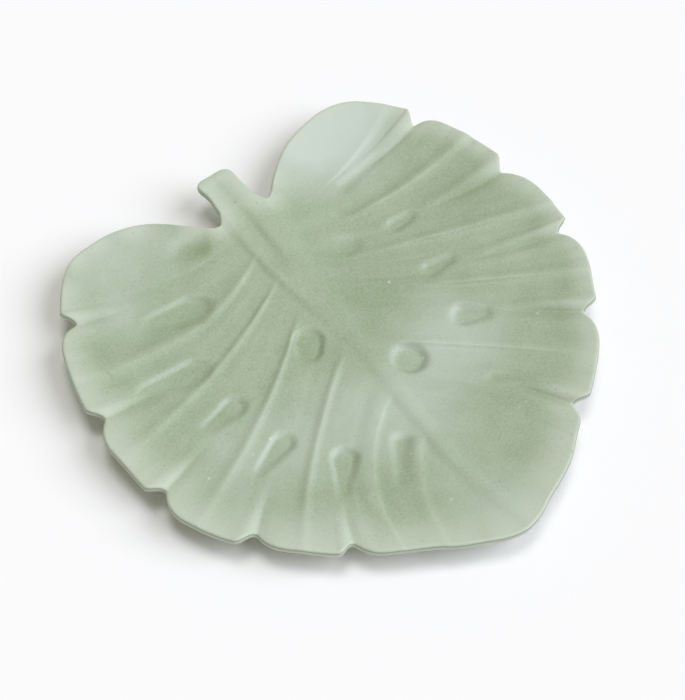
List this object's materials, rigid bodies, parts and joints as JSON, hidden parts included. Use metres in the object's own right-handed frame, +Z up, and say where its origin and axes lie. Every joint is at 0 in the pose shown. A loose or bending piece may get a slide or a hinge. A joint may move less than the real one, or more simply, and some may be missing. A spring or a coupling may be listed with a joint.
{
  "type": "leaf shaped plate",
  "caption": "Shallow stoneware plate pressed as a lobed leaf with veins, teardrop hollows and a notched edge, with a short stem and a foot ring under it.",
  "frame": {"origin": "on the table, under the middle of the leaf's box, which is the middle of the foot ring", "axes": "+Z up from the table, +Y along the midrib towards the stem, -Y towards the tip, +X to the right seen from the tip"},
  "size_m": [0.2031, 0.1986, 0.017],
  "materials": {
    "sage_glaze": "satin sage green glaze, paler where it breaks over edges and veins",
    "bare_stoneware": "unglazed buff stoneware"
  },
  "bodies": {
    "root": {"leaf_blade": "sage_glaze", "leaf_stem": "sage_glaze", "foot_ring": "bare_stoneware"}
  },
  "joints": []
}
